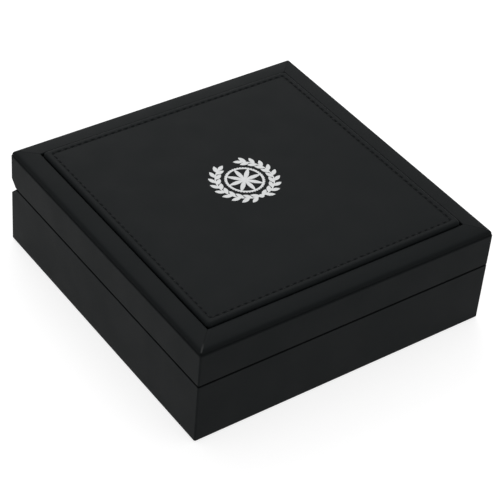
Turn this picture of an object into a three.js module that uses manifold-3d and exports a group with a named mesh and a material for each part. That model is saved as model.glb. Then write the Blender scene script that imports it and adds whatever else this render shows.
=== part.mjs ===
// Coin presentation box: a square leatherette case with a hinged lid and an upholstered top panel.
// Millimetres. X runs along the front, +Y to the hinges at the back, +Z up, z = 0 on the table.
import * as THREE from "three";
import { mergeVertices } from "three/addons/utils/BufferGeometryUtils.js";
import Module from "manifold-3d";

const wasm = await Module();
wasm.setup();

// Outside of the case
const boxSide = 150;
const baseHeight = 30.5;
const seamGap = 0.4;
const bandHeight = 16.7;
const cornerRadius = 0.8;
const rimEdgeRadius = 0.4;
const creaseEdgeRadius = 1.1;
const sharpCorner = 0.05;

// Leatherette and felt
const leather = 0.6;
const turnUnder = 10;
const felt = 0.5;
const feltMargin = 2;

// Boards and walls
const baseWall = 6;
const bottomBoard = 4;
const lidDeck = 2.8;
const fieldRise = 0.9;
const fieldGap = 0.1;
const upstandClearance = 0.5;

// Cornice round the lid's top
const shoulderRise = 1.4;
const crownRise = 1.1;
const corniceRun = 9.5;
const quirk = 0.25;
const mitreGap = 0.2;
const shoulderSharpness = 20;

// Upholstered top panel
const panelGroove = 0.5;
const panelBoard = 1.2;
const panelFoam = 1.1;
const panelSkin = 0.7;
const panelCorner = 2;
const rollRadius = 1.5;
const footTuck = 0.3;
const stitchInset = 3.2;
const channelHalfWidth = 0.6;
const channelDepth = 0.3;
const crownRun = 9;
const crownDrop = 0.12;

// Lining cards
const liner = 0.9;
const upstand = 3.5;
const linerStep = 0.6;

// Coin tray
const trayBelowRim = 4;
const trayLayer = 8;
const trayGap = 0.3;
const recessMargin = 14.7;
const recessWall = 15;
const thumbRadius = 11;

// Satin cushion under the lid
const cushionBoard = 1.2;
const cushionHeight = 4.6;
const cushionGap = 0.4;
const cushionCorner = 4;
const cushionBow = 1.2;
const cushionTuck = 0.8;

// Hinges in the notch along the back
const notchDepth = 4.1;
const notchRelief = 0.25;
const hingeMargin = 33;
const pinRadius = 0.75;
const pinFit = 0.05;
const pinRunningFit = 0.1;
const knuckleRadius = 1.6;
const knuckleRelief = 0.3;
const knuckleGap = 0.2;
const middleKnuckle = 9.6;
const leafWidth = 26;
const leafHeight = 10;
const leafThickness = 0.8;
const mortiseGap = 0.15;

// Hinge screws
const screwLength = 4;
const screwRadius = 0.7;
const screwHeadRadius = 1.4;
const screwTip = 0.8;
const screwFit = 0.05;
const screwMargin = 5;
const screwRise = 6;

// Silver foil ornament on the panel: a laurel wreath round a medallion
const foil = 0.12;
const ornamentPlace = [0.6, 4.6];
const wreathRadius = 12.8;
const stemWidth = 0.6;
const sprigLength = 4.6;
const sprigWidth = 2;
const knotRadius = 1.2;
const medallionRadius = 8.9;
const medallionRing = 1.2;
const reedDepth = 0.35;
const reedWidth = 0.4;
const petalWidth = 2.1;
const budRadius = 1.6;

// Counts, angles and shares
const cornerSteps = 5;
const edgeSteps = 3;
const corniceSteps = 11;
const corniceSpread = 1.8;
const pinSides = 20;
const screwSides = 16;
const recessSides = 48;
const reedCount = 44;
const petalCount = 8;
const sprigPairs = 9;
const leafSteps = 6;
const sprigSplay = 0.62;
const wreathOpening = 0.5;
const leafBluntness = 0.8;
const cushionFullness = 4;
const firstSprigShare = 0.7;
const sprigStaggerShare = 0.18;
const sideSteps = 6;
const channelShares = [-1, -0.5, 0, 0.5, 1];
const crownShares = [0.55, 1];
const cushionShares = [0.3, 0.55, 0.75, 0.88, 0.96];
const overrun = 5;
const rightAngle = Math.PI / 2;

// Places that follow from the sizes
const half = boxSide / 2;
const lidRim = baseHeight + seamGap;
const crease = lidRim + bandHeight;
const corniceRise = shoulderRise + crownRise;
const field = crease + fieldRise;
const boardLow = felt + leather;
const wallLow = boardLow + bottomBoard;
const baseWallTop = baseHeight - leather;
const lidWallLow = lidRim + leather;
const deckTop = crease - leather;
const deckLow = deckTop - lidDeck;
const boardHalf = half - leather;
const lidWall = baseWall - upstandClearance;
const baseInside = boardHalf - baseWall;
const lidInside = boardHalf - lidWall;
const fieldHalf = half - corniceRun - fieldGap;
const panelHalf = half - corniceRun - panelGroove;
const panelTop = field + panelBoard + panelFoam + panelSkin;
const hingeY = half - notchDepth;
const hingeZ = baseHeight + seamGap / 2;
const hingeOffset = half - hingeMargin;
const screwSpread = leafWidth / 2 - screwMargin;
const trayTop = baseHeight - trayBelowRim;
const trayHalf = baseInside - liner - trayGap;
const trayFloor = trayTop - trayLayer;
const recessRadius = (trayHalf - recessMargin - recessWall / 2) / 2;
const recessPlace = recessWall / 2 + recessRadius;

// Each shape becomes a solid once its shared vertices are merged
function solid(geometry) {
  const plain = geometry.clone();
  plain.deleteAttribute("normal");
  plain.deleteAttribute("uv");
  const merged = mergeVertices(plain);
  return new wasm.Manifold(
    new wasm.Mesh({
      numProp: 3,
      vertProperties: new Float32Array(merged.getAttribute("position").array),
      triVerts: new Uint32Array(merged.index.array),
    }),
  );
}

function joined(solids) {
  return solids.reduce((all, next) => all.add(next));
}

function cut(body, cutters) {
  return cutters.reduce((rest, cutter) => rest.subtract(cutter), body);
}

// A named piece with flat facets
function piece(name, body, material) {
  const mesh = body.getMesh();
  const geometry = new THREE.BufferGeometry();
  geometry.setAttribute("position", new THREE.BufferAttribute(mesh.vertProperties, 3));
  geometry.setIndex(new THREE.BufferAttribute(mesh.triVerts, 1));
  const faceted = geometry.toNonIndexed();
  faceted.computeVertexNormals();
  const made = new THREE.Mesh(faceted, material);
  made.name = name;
  return made;
}

function surface(color, roughness, metalness = 0) {
  return new THREE.MeshStandardMaterial({ color, roughness, metalness });
}

// A box between two corners
function block(low, high) {
  const size = high.map((value, i) => value - low[i]);
  const geometry = new THREE.BoxGeometry(...size);
  geometry.translate(...low.map((value, i) => value + size[i] / 2));
  return solid(geometry);
}

// A square plate centred on the case's upright axis
function plate(halfSide, low, high) {
  return block([-halfSide, -halfSide, low], [halfSide, halfSide, high]);
}

// Points round a square with round corners; bow draws each side in at its middle
function ring(halfSide, radius, z, bow = 0) {
  const points = [];
  const straight = halfSide - radius;
  for (let corner = 0; corner < 4; corner += 1) {
    const turn = corner * rightAngle;
    const centre = new THREE.Vector2(straight, straight).rotateAround(new THREE.Vector2(), turn);
    for (let i = 0; i <= cornerSteps; i += 1) {
      const angle = turn + (i / cornerSteps) * rightAngle;
      points.push([centre.x + radius * Math.cos(angle), centre.y + radius * Math.sin(angle), z]);
    }
    for (let i = 1; bow > 0 && i < sideSteps; i += 1) {
      const along = 1 - (2 * i) / sideSteps;
      const drawn = halfSide - bow * (1 - along * along);
      const place = new THREE.Vector2(along * straight, drawn).rotateAround(new THREE.Vector2(), turn);
      points.push([place.x, place.y, z]);
    }
  }
  return points;
}

// The next smaller corner radius, which never reaches zero
function tighter(radius, inset) {
  return Math.max(sharpCorner, radius - inset);
}

// A closed skin over rings of equal count, closed by a fan at each end
function loft(rings) {
  const count = rings[0].length;
  const last = (rings.length - 1) * count;
  const positions = rings.flat(2);
  const lowCentre = rings.length * count;
  const highCentre = lowCentre + 1;
  positions.push(0, 0, rings[0][0][2]);
  positions.push(0, 0, rings[rings.length - 1][0][2]);
  const index = [];
  for (let i = 0; i < count; i += 1) {
    const next = (i + 1) % count;
    for (let start = 0; start < last; start += count) {
      index.push(start + i, start + next, start + count + next);
      index.push(start + i, start + count + next, start + count + i);
    }
    index.push(lowCentre, next, i);
    index.push(highCentre, last + i, last + next);
  }
  const geometry = new THREE.BufferGeometry();
  geometry.setAttribute("position", new THREE.Float32BufferAttribute(positions, 3));
  geometry.setIndex(index);
  return solid(geometry);
}

// A square block with round corners and rounded lower and upper edges
function softBlock(halfSide, low, high, radius, lowEdge, highEdge) {
  const rings = [];
  for (let i = 0; i <= edgeSteps; i += 1) {
    const angle = (i / edgeSteps) * rightAngle;
    const inset = lowEdge * (1 - Math.sin(angle));
    rings.push(ring(halfSide - inset, tighter(radius, inset), low + lowEdge * (1 - Math.cos(angle))));
  }
  for (let i = edgeSteps; i >= 0; i -= 1) {
    const angle = (i / edgeSteps) * rightAngle;
    const inset = highEdge * (1 - Math.sin(angle));
    rings.push(ring(halfSide - inset, tighter(radius, inset), high - highEdge * (1 - Math.cos(angle))));
  }
  return loft(rings);
}

// An outline in the YZ plane, run along X over the case's width
function prismAlongX(outline) {
  const shape = new THREE.Shape(outline.map(([y, z]) => new THREE.Vector2(y, z)));
  const width = boxSide + 2 * overrun;
  const geometry = new THREE.ExtrudeGeometry(shape, { depth: width, bevelEnabled: false });
  const y = new THREE.Vector3(0, 1, 0);
  const z = new THREE.Vector3(0, 0, 1);
  const x = new THREE.Vector3(1, 0, 0);
  geometry.applyMatrix4(new THREE.Matrix4().makeBasis(y, z, x));
  geometry.translate(-width / 2, 0, 0);
  return solid(geometry);
}

// A cylinder along X or along Z about a centre
function rodAlongX(radius, length, centre) {
  const geometry = new THREE.CylinderGeometry(radius, radius, length, pinSides);
  geometry.rotateZ(rightAngle);
  geometry.translate(...centre);
  return solid(geometry);
}

function well(radius, x, y, low, high) {
  const geometry = new THREE.CylinderGeometry(radius, radius, high - low, recessSides);
  geometry.rotateX(rightAngle);
  geometry.translate(x, y, (low + high) / 2);
  return solid(geometry);
}

// The half of the notch at 45 degrees that one half of the case gives up; cover is the skin over it
function notch(side, cover) {
  const back = (notchRelief + cover) * Math.SQRT2;
  const reach = notchDepth + overrun;
  const corners = [
    [-back - reach, reach],
    [reach, -back - reach],
    [reach, reach],
  ];
  const outline = corners.map(([y, z]) => [hingeY + y, hingeZ - side * z]);
  return prismAlongX(side < 0 ? outline : outline.reverse());
}

const inBase = -1;
const inLid = 1;

// One hinge, drawn about its own axis; side says which half of the case a leaf is screwed to
const hingePlaces = { left: -hingeOffset, right: hingeOffset };
const screwPlaces = { outer: -screwSpread, inner: screwSpread };
const leafFront = -knuckleRadius;
const leafBack = leafFront + leafThickness;

function knuckles(side) {
  const outer = (leafWidth - middleKnuckle) / 2 - knuckleGap;
  const outerX = (leafWidth - outer) / 2;
  if (side === inLid) return [rodAlongX(knuckleRadius, middleKnuckle, [0, 0, 0])];
  return [-outerX, outerX].map((x) => rodAlongX(knuckleRadius, outer, [x, 0, 0]));
}

function screwShape(spare, head) {
  const outline = [
    [0, -head],
    [screwHeadRadius + spare, -head],
    [screwHeadRadius + spare, 0],
    [screwRadius + spare, leafThickness],
    [screwRadius + spare, screwLength - screwTip + spare],
    [0, screwLength + spare],
  ];
  const points = outline.map(([r, y]) => new THREE.Vector2(r, y));
  return new THREE.LatheGeometry(head > 0 ? points : [points[0], ...points.slice(2)], screwSides);
}

function screwCutter(side, x) {
  const geometry = screwShape(screwFit, overrun);
  geometry.translate(x, leafFront, side * screwRise);
  return geometry;
}

function leaf(side) {
  const outer = (leafWidth - middleKnuckle) / 2 - knuckleGap;
  const free = knuckleRadius + knuckleRelief;
  const whole = block(
    [-leafWidth / 2, leafFront, Math.min(0, side * leafHeight)],
    [leafWidth / 2, leafBack, Math.max(0, side * leafHeight)],
  );
  const wide = outer + knuckleGap;
  const gaps = {
    [inBase]: [[-middleKnuckle / 2 - knuckleGap, middleKnuckle / 2 + knuckleGap]],
    [inLid]: [
      [-leafWidth / 2 - overrun, -leafWidth / 2 + wide],
      [leafWidth / 2 - wide, leafWidth / 2 + overrun],
    ],
  };
  const clears = gaps[side].map(([from, to]) =>
    block([from, -overrun, -free], [to, overrun, free]),
  );
  const bore = side === inLid ? pinRunningFit : pinFit;
  const holes = Object.values(screwPlaces).map((x) => solid(screwCutter(side, x)));
  const pinHole = rodAlongX(pinRadius + bore, leafWidth + overrun, [0, 0, 0]);
  return cut(joined([cut(whole, clears), ...knuckles(side)]), [pinHole, ...holes]);
}

// What each hinge takes out of a wall and its skin: a mortise, room for the knuckles and screw holes
function hingeCutters(side, inside) {
  const leafSpace = leafWidth / 2 + mortiseGap;
  const far = leafHeight + mortiseGap;
  return Object.values(hingePlaces).flatMap((x) => {
    const mortise = block(
      [x - leafSpace, inside - overrun, hingeZ + Math.min(0, side * far)],
      [x + leafSpace, hingeY + leafBack, hingeZ + Math.max(0, side * far)],
    );
    const room = rodAlongX(knuckleRadius + knuckleRelief, 2 * leafSpace, [x, hingeY, hingeZ]);
    const screws = Object.values(screwPlaces).map((place) => {
      const geometry = screwCutter(side, place);
      geometry.translate(x, hingeY, hingeZ);
      return solid(geometry);
    });
    return [mortise, room, ...screws];
  });
}

// Skin over one half of the case, turned in at both ends over the boards
function cover(low, high, edges, boards, openings, side, inside) {
  const outside = softBlock(half, low, high, cornerRadius, ...edges);
  const core = cut(plate(boardHalf, ...boards), [notch(side, leather)]);
  const windows = openings.map(([halfSide, from, to]) => plate(halfSide, from, to));
  return cut(outside, [notch(side, 0), core, ...windows, ...hingeCutters(side, inside)]);
}

// Four walls: front and back run the full width, the sides stand between them
function walls(prefix, low, high, inside, side, material) {
  const across = { front: [-boardHalf, -inside], back: [inside, boardHalf] };
  const made = Object.entries(across).map(([place, [from, to]]) => {
    const wall = block([-boardHalf, from, low], [boardHalf, to, high]);
    const cutters = place === "back" ? [notch(side, leather), ...hingeCutters(side, inside)] : [];
    return piece(prefix + "_" + place + "_wall", cut(wall, cutters), material);
  });
  const along = { left: [-boardHalf, -inside], right: [inside, boardHalf] };
  Object.entries(along).forEach(([place, [from, to]]) => {
    const wall = block([from, -inside, low], [to, inside, high]);
    made.push(piece(prefix + "_" + place + "_wall", wall, material));
  });
  return made;
}

// Four lining cards on the inside faces of the walls
function liners(prefix, low, high, inside, material) {
  const face = inside - liner;
  const cards = {
    front: [[-inside, -inside], [inside, -face]],
    back: [[-inside, face], [inside, inside]],
    left: [[-inside, -face], [-face, face]],
    right: [[face, -face], [inside, face]],
  };
  return Object.entries(cards).map(([place, [from, to]]) =>
    piece(prefix + "_" + place + "_liner", block([...from, low], [...to, high]), material),
  );
}

// One side of the cornice: a tight shoulder over the crease, then a slope that levels off to the panel
function corniceStrip(turn) {
  const run = corniceRun - quirk;
  const outline = [new THREE.Vector2(corniceRun, 0), new THREE.Vector2(quirk, 0)];
  for (let i = 1; i <= corniceSteps; i += 1) {
    const share = (i / corniceSteps) ** corniceSpread;
    const shoulder = shoulderRise * (1 - (1 - share) ** shoulderSharpness);
    const up = shoulder + crownRise * (1 - (1 - share) ** 2);
    outline.push(new THREE.Vector2(quirk + run * share, up));
  }
  const shape = new THREE.Shape(outline.reverse());
  const geometry = new THREE.ExtrudeGeometry(shape, { depth: 1, bevelEnabled: false });
  const places = geometry.getAttribute("position");
  for (let i = 0; i < places.count; i += 1) {
    const inset = places.getX(i);
    const end = half - inset - mitreGap / Math.SQRT2;
    const along = places.getZ(i) > 0 ? end : -end;
    places.setXYZ(i, along, inset - half, crease + places.getY(i));
  }
  geometry.rotateZ(turn * rightAngle);
  const corners = softBlock(half - quirk, crease, crease + corniceRise, cornerRadius, 0, 0);
  return solid(geometry).intersect(corners);
}

// The panel's leatherette: a rolled edge, a sewn channel and a slight crown
function panelHeight(inset) {
  const rise = Math.max(0, 1 - inset / crownRun);
  const across = Math.min(1, Math.abs(inset - stitchInset) / channelHalfWidth);
  const dip = channelDepth * Math.cos(across * rightAngle) ** 2;
  return panelTop - crownDrop * rise * rise - dip;
}

function panelCover() {
  const rings = [ring(panelHalf - footTuck, panelCorner - footTuck, field)];
  const rollTop = panelHeight(rollRadius);
  for (let i = 0; i <= edgeSteps; i += 1) {
    const angle = (i / edgeSteps) * rightAngle;
    const inset = rollRadius * (1 - Math.cos(angle));
    const z = rollTop - rollRadius * (1 - Math.sin(angle));
    rings.push(ring(panelHalf - inset, panelCorner - inset / 2, z));
  }
  const insets = [
    ...channelShares.map((share) => stitchInset + share * channelHalfWidth),
    ...crownShares.map((share) => share * crownRun),
  ];
  const corner = panelCorner - rollRadius / 2;
  insets.forEach((inset) => rings.push(ring(panelHalf - inset, corner, panelHeight(inset))));
  const hollow = plate(panelHalf - panelSkin, field - overrun, field + panelBoard + panelFoam);
  return loft(rings).subtract(hollow);
}

// The satin cushion: flat on its board, sides drawn in, crown hanging down
function cushion(halfSide, high) {
  const edge = high - cushionTuck;
  const crown = cushionHeight - cushionTuck;
  const rings = cushionShares.map((share) => {
    const bow = cushionBow * share;
    const drop = crown * Math.sqrt(1 - share ** cushionFullness);
    return ring(halfSide * share, cushionCorner * share, edge - drop, bow);
  });
  rings.push(ring(halfSide, cushionCorner, edge, cushionBow));
  rings.push(ring(halfSide - cushionTuck / 2, cushionCorner, high, cushionBow));
  return loft(rings);
}

// Flat foil shapes
function foilShape(points, hole) {
  const shape = new THREE.Shape(points);
  if (hole) shape.holes.push(new THREE.Path(hole));
  const geometry = new THREE.ExtrudeGeometry(shape, { depth: foil, bevelEnabled: false });
  geometry.translate(...ornamentPlace, panelTop);
  return solid(geometry);
}

function circle(radius, sides) {
  return Array.from({ length: sides }, (_, i) => {
    const angle = (i / sides) * 4 * rightAngle;
    return new THREE.Vector2(radius * Math.cos(angle), radius * Math.sin(angle));
  });
}

// A pointed leaf from a root, along a heading
function pointedLeaf(root, heading, length, width) {
  const outline = [];
  for (let i = 0; i <= 2 * leafSteps - 1; i += 1) {
    const share = i <= leafSteps ? i / leafSteps : 2 - i / leafSteps;
    const bulge = (width / 2) * Math.sin(share * 2 * rightAngle) ** leafBluntness;
    const across = i <= leafSteps ? -bulge : bulge;
    outline.push(new THREE.Vector2(share * length, across));
  }
  const origin = new THREE.Vector2();
  return outline.map((point) => point.rotateAround(origin, heading).add(root));
}

function wreath() {
  const inner = wreathRadius - stemWidth / 2;
  const outer = wreathRadius + stemWidth / 2;
  const sweep = 2 * rightAngle - wreathOpening;
  const foot = new THREE.Vector2(0, -wreathRadius);
  const knot = circle(knotRadius, screwSides).map((point) => point.add(foot));
  const parts = [foilShape(knot)];
  [-1, 1].forEach((hand) => {
    const at = (radius, share) => {
      const angle = -rightAngle + hand * share * sweep;
      return new THREE.Vector2(radius * Math.cos(angle), radius * Math.sin(angle));
    };
    const count = recessSides / 2;
    const steps = Array.from({ length: count + 1 }, (_, i) => i / count);
    const stem = [...steps.map((s) => at(outer, s)), ...steps.reverse().map((s) => at(inner, s))];
    parts.push(foilShape(hand > 0 ? stem : stem.reverse()));
    for (let i = 1; i <= sprigPairs; i += 1) {
      [-1, 1].forEach((edge) => {
        const share = (i - firstSprigShare - edge * sprigStaggerShare) / sprigPairs;
        const root = at(wreathRadius, share);
        const growth = hand * (share * sweep + edge * sprigSplay);
        const heading = hand > 0 ? growth : growth + 2 * rightAngle;
        parts.push(foilShape(pointedLeaf(root, heading, sprigLength, sprigWidth)));
      });
    }
    const tip = at(wreathRadius, 1 - sprigStaggerShare / sprigPairs);
    const tipHeading = hand > 0 ? sweep : 2 * rightAngle - sweep;
    parts.push(foilShape(pointedLeaf(tip, tipHeading, sprigLength, sprigWidth)));
  });
  return joined(parts);
}

function medallion() {
  const rim = foilShape(
    circle(medallionRadius, 2 * reedCount),
    circle(medallionRadius - medallionRing, recessSides),
  );
  const reeds = Array.from({ length: reedCount }, (_, i) => {
    const angle = (i / reedCount) * 4 * rightAngle;
    const from = medallionRadius - reedDepth;
    const notchPoints = [
      [from, -reedWidth / 2],
      [medallionRadius + reedDepth, -reedWidth / 2],
      [medallionRadius + reedDepth, reedWidth / 2],
      [from, reedWidth / 2],
    ].map(([x, y]) => new THREE.Vector2(x, y).rotateAround(new THREE.Vector2(), angle));
    const shape = new THREE.Shape(notchPoints);
    const geometry = new THREE.ExtrudeGeometry(shape, { depth: 3 * foil, bevelEnabled: false });
    geometry.translate(...ornamentPlace, panelTop - foil);
    return solid(geometry);
  });
  const petals = Array.from({ length: petalCount }, (_, i) => {
    const heading = (i / petalCount) * 4 * rightAngle;
    const length = medallionRadius - medallionRing / 2;
    return foilShape(pointedLeaf(new THREE.Vector2(), heading, length, petalWidth));
  });
  return cut(joined([rim, foilShape(circle(budRadius, recessSides / 2)), ...petals]), reeds);
}

// Finishes
const leatherette = surface(0x1d1f20, 0.55);
const fibreboard = surface(0x9c7b55, 0.85);
const feltCloth = surface(0x151515, 0.98);
const velvet = surface(0x121214, 0.95);
const greyboard = surface(0x8c8a84, 0.9);
const foamBlock = surface(0x2c2c2e, 0.95);
const satin = surface(0xe9e2d2, 0.45);
const nickel = surface(0xb9b7b0, 0.3, 1);
const silverFoil = surface(0xc9cbcd, 0.5, 0.6);

// Base
const base = new THREE.Group();
base.add(piece("underside_felt", plate(half - feltMargin, 0, felt), feltCloth));
base.add(piece("base_bottom_board", plate(boardHalf, boardLow, wallLow), fibreboard));
base.add(...walls("base", wallLow, baseWallTop, baseInside, inBase, fibreboard));
const baseCover = cover(
  felt,
  baseHeight,
  [rimEdgeRadius, rimEdgeRadius],
  [boardLow, baseWallTop],
  [
    [half - turnUnder, felt - overrun, boardLow + overrun],
    [baseInside, baseWallTop - overrun, baseHeight + overrun],
  ],
  inBase,
  baseInside,
);
base.add(piece("base_cover", baseCover, leatherette));
base.add(...liners("base", wallLow, baseHeight + upstand, baseInside, velvet));

// Tray: a foam block, and on it a die-cut layer with four round recesses and thumb notches
base.add(piece("tray_foam_block", plate(trayHalf, wallLow, trayFloor), foamBlock));
const sides = [-recessPlace, recessPlace];
const wells = sides.flatMap((y) => [
  ...sides.map((x) => well(recessRadius, x, y, trayFloor - overrun, trayTop + overrun)),
  well(thumbRadius, 0, y, trayFloor - overrun, trayTop + overrun),
]);
base.add(piece("coin_tray", cut(plate(trayHalf, trayFloor, trayTop), wells), velvet));

// Lid, in a group that turns about the hinge axis
const lid = new THREE.Group();
lid.position.set(0, hingeY, hingeZ);
const lidPieces = new THREE.Group();
lidPieces.position.copy(lid.position).negate();
lid.add(lidPieces);
lidPieces.add(...walls("lid", lidWallLow, deckLow, lidInside, inLid, fibreboard));
const lidCover = cover(
  lidRim,
  crease,
  [rimEdgeRadius, creaseEdgeRadius],
  [lidWallLow, deckTop],
  [
    [lidInside, lidRim - overrun, lidWallLow + overrun],
    [fieldHalf, deckTop - overrun, crease + overrun],
  ],
  inLid,
  lidInside,
);
lidPieces.add(piece("lid_cover", lidCover, leatherette));
const deck = joined([plate(boardHalf, deckLow, deckTop), plate(fieldHalf - fieldGap, deckLow, field)]);
lidPieces.add(piece("lid_top_board", deck, fibreboard));
["front", "right", "back", "left"].forEach((place, turn) => {
  lidPieces.add(piece("cornice_" + place, corniceStrip(turn), leatherette));
});
const boardSide = panelHalf - panelSkin - fieldGap;
lidPieces.add(piece("panel_board", plate(boardSide, field, field + panelBoard), greyboard));
const foamTop = field + panelBoard + panelFoam;
lidPieces.add(piece("panel_foam", plate(boardSide, field + panelBoard, foamTop), foamBlock));
lidPieces.add(piece("panel_cover", panelCover(), leatherette));
lidPieces.add(piece("foil_wreath", wreath(), silverFoil));
lidPieces.add(piece("foil_medallion", medallion(), silverFoil));

// Lining of the lid
const lidLinerLow = baseHeight + upstand + linerStep;
lidPieces.add(...liners("lid", lidLinerLow, deckLow, lidInside, velvet));
const cushionHalf = lidInside - liner - cushionGap;
const cushionTop = deckLow - cushionBoard;
lidPieces.add(piece("cushion_board", plate(cushionHalf, cushionTop, deckLow), greyboard));
lidPieces.add(piece("lid_cushion", cushion(cushionHalf, cushionTop), satin));

// Hinges: the base's leaf holds the pin, the lid's leaf turns on it
Object.entries(hingePlaces).forEach(([place, x]) => {
  const fixed = new THREE.Group();
  fixed.position.set(x, hingeY, hingeZ);
  const turning = new THREE.Group();
  turning.position.set(x, 0, 0);
  const leaves = { base: [inBase, fixed], lid: [inLid, turning] };
  Object.entries(leaves).forEach(([owner, [side, group]]) => {
    group.add(piece("hinge_leaf_" + owner + "_" + place, leaf(side), nickel));
    Object.entries(screwPlaces).forEach(([end, along]) => {
      const screw = piece(
        ["hinge_screw", owner, place, end].join("_"),
        solid(screwShape(0, 0)),
        nickel,
      );
      screw.position.set(along, leafFront, side * screwRise);
      group.add(screw);
    });
  });
  fixed.add(piece("hinge_pin_" + place, rodAlongX(pinRadius, leafWidth, [0, 0, 0]), nickel));
  base.add(fixed);
  lid.add(turning);
});

const coinBox = new THREE.Group();
coinBox.add(base, lid);

export default coinBox;
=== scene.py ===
import math

import bpy
from mathutils import Matrix, Quaternion, Vector


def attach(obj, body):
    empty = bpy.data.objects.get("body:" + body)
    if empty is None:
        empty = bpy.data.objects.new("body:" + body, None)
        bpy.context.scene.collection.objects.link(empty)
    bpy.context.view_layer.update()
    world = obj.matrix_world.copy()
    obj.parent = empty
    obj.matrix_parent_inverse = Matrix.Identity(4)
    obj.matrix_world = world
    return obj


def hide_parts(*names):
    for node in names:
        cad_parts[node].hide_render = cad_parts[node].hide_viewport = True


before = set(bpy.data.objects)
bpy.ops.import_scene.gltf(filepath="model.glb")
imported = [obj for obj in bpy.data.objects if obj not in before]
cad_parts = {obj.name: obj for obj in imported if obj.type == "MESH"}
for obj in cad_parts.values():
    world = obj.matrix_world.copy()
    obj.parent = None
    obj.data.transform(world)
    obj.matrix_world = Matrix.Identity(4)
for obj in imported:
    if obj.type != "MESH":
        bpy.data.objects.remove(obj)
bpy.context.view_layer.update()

MM = 0.001
RIGHT_ANGLE = math.pi / 2

# Outside of the case
BOX_SIDE = 150
BASE_HEIGHT = 30.5
SEAM_GAP = 0.4
BAND_HEIGHT = 16.7
CORNER_RADIUS = 0.8
RIM_EDGE_RADIUS = 0.4
CREASE_EDGE_RADIUS = 1.1
SHARP_CORNER = 0.05
LEATHER = 0.6
TURN_UNDER = 10
FELT = 0.5
BASE_WALL = 6
UPSTAND_CLEARANCE = 0.5
FIELD_RISE = 0.9
FIELD_GAP = 0.1

# Cornice
SHOULDER_RISE = 1.4
CROWN_RISE = 1.1
CORNICE_RUN = 9.5
SHOULDER_SHARPNESS = 20
CORNICE_SPREAD = 1.8
QUIRK = 0.25
MITRE_GAP = 0.2
FOOT_ROLL = 0.15
GROOVE_ROLL = 0.45
MITRE_ROLL = 0.35
MITRE_DIP = 0.14
MITRE_OPEN_TO = 2.6
MITRE_SHUT_FROM = 4.6
MITRE_SHUT = 0.35
POINTED_FROM = 1
CORNICE_STEPS = 60
ROLL_STEPS = 6
MITRE_PLACES = (0, 0.03, 0.07, 0.13, 0.2, 0.3, 0.42, 0.6, 0.85, 1.15, 1.5, 2.2, 4, 9)
ROLL_START_GAP = 0.03
ROLL_END_GAP = 0.05

# Upholstered panel
PANEL_GROOVE = 0.5
PANEL_BOARD = 1.2
PANEL_FOAM = 1.1
PANEL_SKIN = 0.7
PANEL_CORNER = 2
ROLL_RADIUS = 1.5
FOOT_TUCK = 0.3
STITCH_INSET = 3.2
CHANNEL_HALF_WIDTH = 0.6
CHANNEL_DEPTH = 0.28
CROWN_RUN = 13
CROWN_DROP = 0.55
ROLL_DROP = 0.1
STITCHES_A_SIDE = 36
STEPS_A_STITCH = 8
PUCKER_SHARE = 0.85
CHANNEL_STEPS = 12
CROWN_SHARES = (0.35, 0.45, 0.6, 0.8, 1.0)
PANEL_SHARP_ANGLE = 60

# Thread
THREAD_RADIUS = 0.16
THREAD_RISE = 0.22
THREAD_GAP = 0.36
THREAD_STATIONS = 11
THREAD_SIDES = 8
THREAD_END_SHARE = 0.55
THREAD_SHARP_ANGLE = 70

# Linings, tray and cushion
LINER = 0.9
TRAY_BELOW_RIM = 4
TRAY_LAYER = 8
TRAY_GAP = 0.3
RECESS_MARGIN = 14.7
RECESS_WALL = 15
THUMB_RADIUS = 11
TRAY_ROUNDING = 0.6
TRAY_SHARP_ANGLE = 60
TRAY_WELD = 0.002
RECESS_STEPS = 120
THUMB_STEPS = 24
LID_DECK = 2.8
CUSHION_BOARD = 1.2
CUSHION_HEIGHT = 4.6
CUSHION_GAP = 0.4
CUSHION_CORNER = 4
CUSHION_BOW = 1.2
CUSHION_TUCK = 0.8

# Hinges in the notch along the back
NOTCH_DEPTH = 4.1
NOTCH_RELIEF = 0.25
HINGE_MARGIN = 33
KNUCKLE_RADIUS = 1.6
KNUCKLE_RELIEF = 0.3
LEAF_WIDTH = 26
LEAF_HEIGHT = 10
LEAF_THICKNESS = 0.8
MORTISE_GAP = 0.15

# Places that follow from the sizes
HALF = BOX_SIDE / 2
LID_RIM = BASE_HEIGHT + SEAM_GAP
CREASE = LID_RIM + BAND_HEIGHT
FIELD = CREASE + FIELD_RISE
BOARD_LOW = FELT + LEATHER
BASE_WALL_TOP = BASE_HEIGHT - LEATHER
LID_WALL_LOW = LID_RIM + LEATHER
DECK_TOP = CREASE - LEATHER
DECK_LOW = DECK_TOP - LID_DECK
BOARD_HALF = HALF - LEATHER
BASE_INSIDE = BOARD_HALF - BASE_WALL
LID_INSIDE = BASE_INSIDE + UPSTAND_CLEARANCE
FIELD_HALF = HALF - CORNICE_RUN - FIELD_GAP
PANEL_HALF = HALF - CORNICE_RUN - PANEL_GROOVE
PANEL_TOP = FIELD + PANEL_BOARD + PANEL_FOAM + PANEL_SKIN
HINGE_Y = HALF - NOTCH_DEPTH
HINGE_Z = BASE_HEIGHT + SEAM_GAP / 2
HINGE_OFFSET = HALF - HINGE_MARGIN
TRAY_HALF = BASE_INSIDE - LINER - TRAY_GAP
RECESS_RADIUS = (TRAY_HALF - RECESS_MARGIN - RECESS_WALL / 2) / 2
RECESS_PLACE = RECESS_WALL / 2 + RECESS_RADIUS
OVERRUN = 5
CORNER_STEPS = 12
EDGE_STEPS = 8
ROD_SIDES = 48
SHARP_ANGLE = 50
BEVEL_ANGLE = 35
SMOOTH_ANGLE = 30
COVER_EDGE = 0.18
NODE_WELD = 0.001
IN_BASE = -1
IN_LID = 1

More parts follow.
